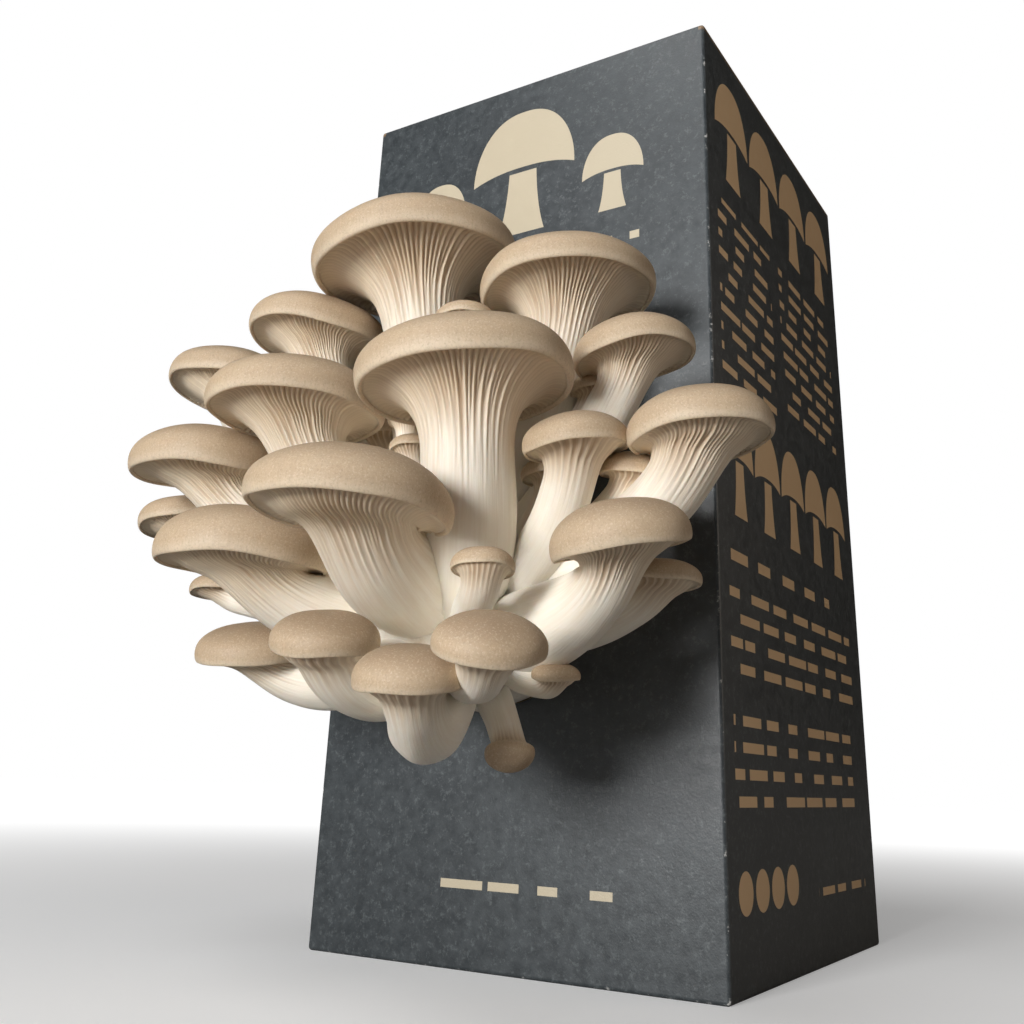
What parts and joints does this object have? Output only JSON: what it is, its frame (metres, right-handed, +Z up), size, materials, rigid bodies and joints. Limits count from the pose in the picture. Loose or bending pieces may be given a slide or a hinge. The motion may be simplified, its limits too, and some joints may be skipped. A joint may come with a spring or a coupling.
{
  "type": "mushroom grow kit",
  "caption": "Tall dark folded carton with a cluster of tan, round-capped oyster mushrooms on cream gilled stems growing from a window in its front.",
  "frame": {"origin": "centre of the carton's underside, on the surface it stands on", "axes": "+Z up along the carton's height; the front with the window and the mushrooms faces -Y; +X is the carton's right side seen from the front"},
  "size_m": [0.1953, 0.2244, 0.25],
  "materials": {
    "board": "matte",
    "film": "satin",
    "block": "matte",
    "flesh": "matte",
    "skin": "matte"
  },
  "bodies": {
    "root": {"carton": "board", "grow_bag": "film", "substrate_block": "block", "cluster_base": "flesh", "cap_01": "skin", "cap_02": "skin", "cap_03": "skin", "cap_04": "skin", "cap_05": "skin", "cap_06": "skin", "cap_07": "skin", "cap_08": "skin", "cap_09": "skin", "cap_10": "skin", "cap_11": "skin", "cap_12": "skin", "cap_13": "skin", "cap_14": "skin", "cap_15": "skin", "cap_16": "skin", "cap_17": "skin", "cap_18": "skin", "cap_19": "skin", "cap_20": "skin", "cap_21": "skin", "cap_22": "skin", "cap_23": "skin", "cap_24": "skin", "cap_25": "skin", "cap_26": "skin", "cap_27": "skin", "stem_01": "flesh", "stem_02": "flesh", "stem_03": "flesh", "stem_04": "flesh", "stem_05": "flesh", "stem_06": "flesh", "stem_07": "flesh", "stem_08": "flesh", "stem_09": "flesh", "stem_10": "flesh", "stem_11": "flesh", "stem_12": "flesh", "stem_13": "flesh", "stem_14": "flesh", "stem_15": "flesh", "stem_16": "flesh", "stem_17": "flesh", "stem_18": "flesh", "stem_19": "flesh", "stem_20": "flesh", "stem_21": "flesh", "stem_22": "flesh", "stem_23": "flesh", "stem_24": "flesh", "stem_25": "flesh", "stem_26": "flesh", "stem_27": "flesh"}
  },
  "joints": []
}
